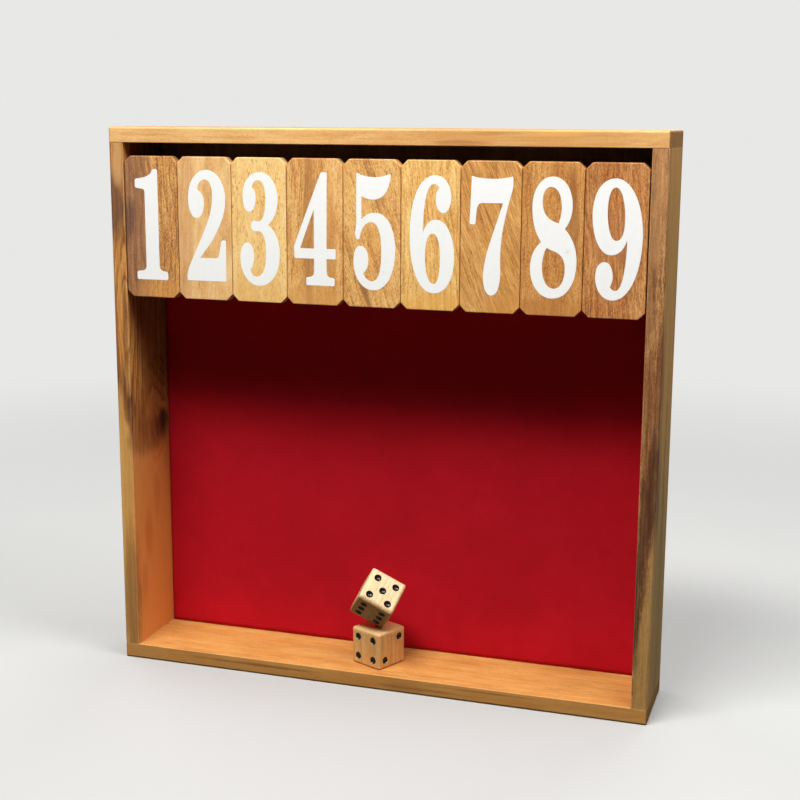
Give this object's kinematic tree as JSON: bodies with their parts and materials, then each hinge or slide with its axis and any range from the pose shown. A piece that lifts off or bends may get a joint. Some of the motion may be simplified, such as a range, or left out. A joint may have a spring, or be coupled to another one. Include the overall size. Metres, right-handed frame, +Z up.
{
  "type": "shut the box game",
  "caption": "Wooden shut the box game: a square open tray with felt on its back, a row of numbered flap tiles on one rod near the top edge, and two dice.",
  "frame": {"origin": "middle of the face of the bottom board that the case stands on", "axes": "+Z up along the tiles, +X across the row of tiles towards tile 9, -Y out of the open tray"},
  "size_m": [0.29, 0.047, 0.291],
  "materials": {
    "frame_wood": "satin lacquer",
    "tile_wood": "satin lacquer",
    "die_wood": "smooth sanded",
    "plywood": "sanded",
    "felt": "matt felt",
    "steel": "drawn wire"
  },
  "bodies": {
    "case": {"top_board": "frame_wood", "bottom_board": "frame_wood", "left_board": "frame_wood", "right_board": "frame_wood", "back_panel": "plywood", "felt_lining": "felt", "tile_rail": "frame_wood", "hinge_rod": "steel", "corner_brads": "steel", "panel_brads": "steel"},
    "tile_1": {"tile_1": "tile_wood"},
    "tile_2": {"tile_2": "tile_wood"},
    "tile_3": {"tile_3": "tile_wood"},
    "tile_4": {"tile_4": "tile_wood"},
    "tile_5": {"tile_5": "tile_wood"},
    "tile_6": {"tile_6": "tile_wood"},
    "tile_7": {"tile_7": "tile_wood"},
    "tile_8": {"tile_8": "tile_wood"},
    "tile_9": {"tile_9": "tile_wood"},
    "die_lower": {"die_lower": "die_wood"},
    "die_upper": {"die_upper": "die_wood"}
  },
  "joints": [
    {"name": "tile_1_hinge", "type": "hinge", "parent": "case", "child": "tile_1", "pos_m": [-0.1212, -0.0205, 0.2671], "axis": [-1, 0, 0], "range_deg": [0, 157]},
    {"name": "tile_2_hinge", "type": "hinge", "parent": "case", "child": "tile_2", "pos_m": [-0.0909, -0.0205, 0.2671], "axis": [-1, 0, 0], "range_deg": [0, 157]},
    {"name": "tile_3_hinge", "type": "hinge", "parent": "case", "child": "tile_3", "pos_m": [-0.0606, -0.0205, 0.2671], "axis": [-1, 0, 0], "range_deg": [0, 157]},
    {"name": "tile_4_hinge", "type": "hinge", "parent": "case", "child": "tile_4", "pos_m": [-0.0303, -0.0205, 0.2671], "axis": [-1, 0, 0], "range_deg": [0, 157]},
    {"name": "tile_5_hinge", "type": "hinge", "parent": "case", "child": "tile_5", "pos_m": [0, -0.0205, 0.2671], "axis": [-1, 0, 0], "range_deg": [0, 157]},
    {"name": "tile_6_hinge", "type": "hinge", "parent": "case", "child": "tile_6", "pos_m": [0.0303, -0.0205, 0.2671], "axis": [-1, 0, 0], "range_deg": [0, 157]},
    {"name": "tile_7_hinge", "type": "hinge", "parent": "case", "child": "tile_7", "pos_m": [0.0606, -0.0205, 0.2671], "axis": [-1, 0, 0], "range_deg": [0, 157]},
    {"name": "tile_8_hinge", "type": "hinge", "parent": "case", "child": "tile_8", "pos_m": [0.0909, -0.0205, 0.2671], "axis": [-1, 0, 0], "range_deg": [0, 157]},
    {"name": "tile_9_hinge", "type": "hinge", "parent": "case", "child": "tile_9", "pos_m": [0.1212, -0.0205, 0.2671], "axis": [-1, 0, 0], "range_deg": [0, 157]},
    {"name": "die_lower_slide", "type": "slide", "parent": "case", "child": "die_lower", "axis": [0, -1, 0], "range_m": [0, 0.06]},
    {"name": "die_upper_lift", "type": "slide", "parent": "die_lower", "child": "die_upper", "axis": [0, 0, 1], "range_m": [0, 0.06]}
  ]
}
